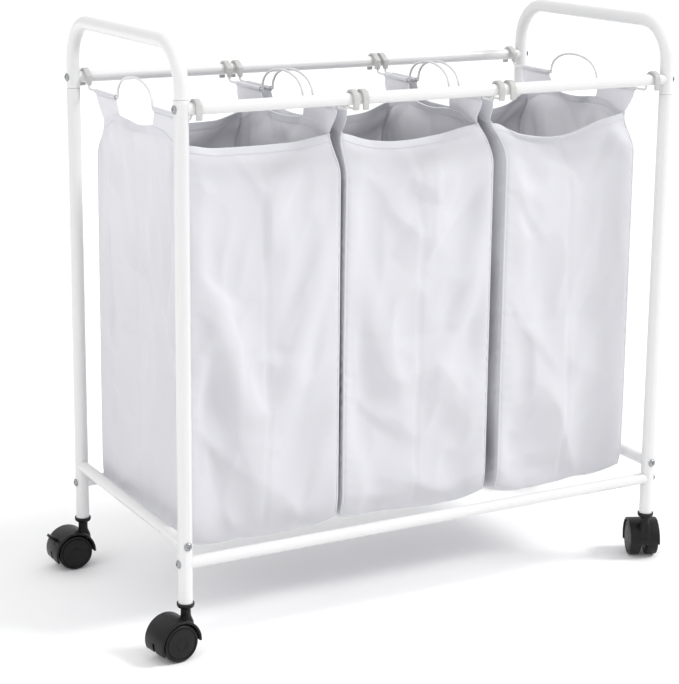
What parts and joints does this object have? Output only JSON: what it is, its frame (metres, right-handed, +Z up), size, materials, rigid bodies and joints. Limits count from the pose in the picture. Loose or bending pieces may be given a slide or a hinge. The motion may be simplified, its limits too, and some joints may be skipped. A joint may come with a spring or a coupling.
{
  "type": "laundry sorter",
  "caption": "Rolling laundry sorter: a tall tube frame with end handles and twin-wheel casters holds hook-on cloth bags side by side on two hanging rods.",
  "frame": {"origin": "on the floor, at the centre of the footprint", "axes": "+X along the width to the right as seen from the front, -Y to the front, +Z up"},
  "size_m": [0.8511, 0.4188, 0.8],
  "materials": {
    "white_powder_coat": "smooth semi-gloss white powder coat",
    "zinc_plate": "bright zinc plating",
    "black_plastic": "moulded black nylon, lightly polished",
    "black_tread": "hard black nylon wheel, lightly scuffed",
    "grey_plastic": "moulded light grey plastic",
    "white_wire": "white coated steel wire",
    "white_polyester": "white woven polyester with a faint satin sheen"
  },
  "bodies": {
    "cart": {"leg_front_left": "white_powder_coat", "caster_socket_front_left": "black_plastic", "rod_bolt_front_left": "zinc_plate", "long_rail_bolt_front_left": "zinc_plate", "side_rail_screw_front_left": "zinc_plate", "leg_rear_left": "white_powder_coat", "caster_socket_rear_left": "black_plastic", "rod_bolt_rear_left": "zinc_plate", "long_rail_bolt_rear_left": "zinc_plate", "side_rail_screw_rear_left": "zinc_plate", "leg_front_right": "white_powder_coat", "caster_socket_front_right": "black_plastic", "rod_bolt_front_right": "zinc_plate", "long_rail_bolt_front_right": "zinc_plate", "side_rail_screw_front_right": "zinc_plate", "leg_rear_right": "white_powder_coat", "caster_socket_rear_right": "black_plastic", "rod_bolt_rear_right": "zinc_plate", "long_rail_bolt_rear_right": "zinc_plate", "side_rail_screw_rear_right": "zinc_plate", "handle_left": "white_powder_coat", "handle_right": "white_powder_coat", "side_rail_left": "white_powder_coat", "side_rail_right": "white_powder_coat", "hanging_rod_front": "white_powder_coat", "hanging_rod_rear": "white_powder_coat", "long_rail_front": "white_powder_coat", "long_rail_rear": "white_powder_coat"},
    "caster_front_left": {"caster_hood_front_left": "black_plastic"},
    "wheels_front_left": {"caster_wheels_front_left": "black_tread"},
    "caster_rear_left": {"caster_hood_rear_left": "black_plastic"},
    "wheels_rear_left": {"caster_wheels_rear_left": "black_tread"},
    "brake_rear_left": {"brake_lever_rear_left": "black_plastic"},
    "caster_front_right": {"caster_hood_front_right": "black_plastic"},
    "wheels_front_right": {"caster_wheels_front_right": "black_tread"},
    "caster_rear_right": {"caster_hood_rear_right": "black_plastic"},
    "wheels_rear_right": {"caster_wheels_rear_right": "black_tread"},
    "brake_rear_right": {"brake_lever_rear_right": "black_plastic"},
    "left_bag": {"bag_left": "white_polyester", "hanger_wire_left_left": "white_wire", "hook_left_left_front": "grey_plastic", "hook_left_left_rear": "grey_plastic", "hanger_wire_left_right": "white_wire", "hook_left_right_front": "grey_plastic", "hook_left_right_rear": "grey_plastic"},
    "middle_bag": {"bag_middle": "white_polyester", "hanger_wire_middle_left": "white_wire", "hook_middle_left_front": "grey_plastic", "hook_middle_left_rear": "grey_plastic", "hanger_wire_middle_right": "white_wire", "hook_middle_right_front": "grey_plastic", "hook_middle_right_rear": "grey_plastic"},
    "right_bag": {"bag_right": "white_polyester", "hanger_wire_right_left": "white_wire", "hook_right_left_front": "grey_plastic", "hook_right_left_rear": "grey_plastic", "hanger_wire_right_right": "white_wire", "hook_right_right_front": "grey_plastic", "hook_right_right_rear": "grey_plastic"}
  },
  "joints": [
    {"name": "swivel_front_left", "type": "hinge", "parent": "cart", "child": "caster_front_left", "pos_m": [-0.3715, -0.181, 0.0645], "axis": [0, 0, 1], "continuous": true},
    {"name": "roll_front_left", "type": "hinge", "parent": "caster_front_left", "child": "wheels_front_left", "pos_m": [-0.39032, -0.18364, 0.025], "axis": [0.1392, -0.9903, 0], "continuous": true},
    {"name": "swivel_rear_left", "type": "hinge", "parent": "cart", "child": "caster_rear_left", "pos_m": [-0.3715, 0.181, 0.0645], "axis": [0, 0, 1], "continuous": true},
    {"name": "roll_rear_left", "type": "hinge", "parent": "caster_rear_left", "child": "wheels_rear_left", "pos_m": [-0.3905, 0.181, 0.025], "axis": [0, -1, 0], "continuous": true},
    {"name": "brake_rear_left", "type": "hinge", "parent": "caster_rear_left", "child": "brake_rear_left", "pos_m": [-0.41639, 0.181, 0.03762], "axis": [0, -1, 0], "range_deg": [0, 20]},
    {"name": "swivel_front_right", "type": "hinge", "parent": "cart", "child": "caster_front_right", "pos_m": [0.3715, -0.181, 0.0645], "axis": [0, 0, 1], "continuous": true},
    {"name": "roll_front_right", "type": "hinge", "parent": "caster_front_right", "child": "wheels_front_right", "pos_m": [0.37953, -0.16378, 0.025], "axis": [-0.9063, 0.4226, 0], "continuous": true},
    {"name": "swivel_rear_right", "type": "hinge", "parent": "cart", "child": "caster_rear_right", "pos_m": [0.3715, 0.181, 0.0645], "axis": [0, 0, 1], "continuous": true},
    {"name": "roll_rear_right", "type": "hinge", "parent": "caster_rear_right", "child": "wheels_rear_right", "pos_m": [0.39032, 0.18364, 0.025], "axis": [-0.1392, 0.9903, 0], "continuous": true},
    {"name": "brake_rear_right", "type": "hinge", "parent": "caster_rear_right", "child": "brake_rear_right", "pos_m": [0.41595, 0.18725, 0.03762], "axis": [-0.1392, 0.9903, 0], "range_deg": [0, 20]},
    {"name": "lift_left_bag", "type": "slide", "parent": "cart", "child": "left_bag", "axis": [0, 0, 1], "range_m": [0, 0.62]},
    {"name": "lift_middle_bag", "type": "slide", "parent": "cart", "child": "middle_bag", "axis": [0, 0, 1], "range_m": [0, 0.62]},
    {"name": "lift_right_bag", "type": "slide", "parent": "cart", "child": "right_bag", "axis": [0, 0, 1], "range_m": [0, 0.62]}
  ]
}
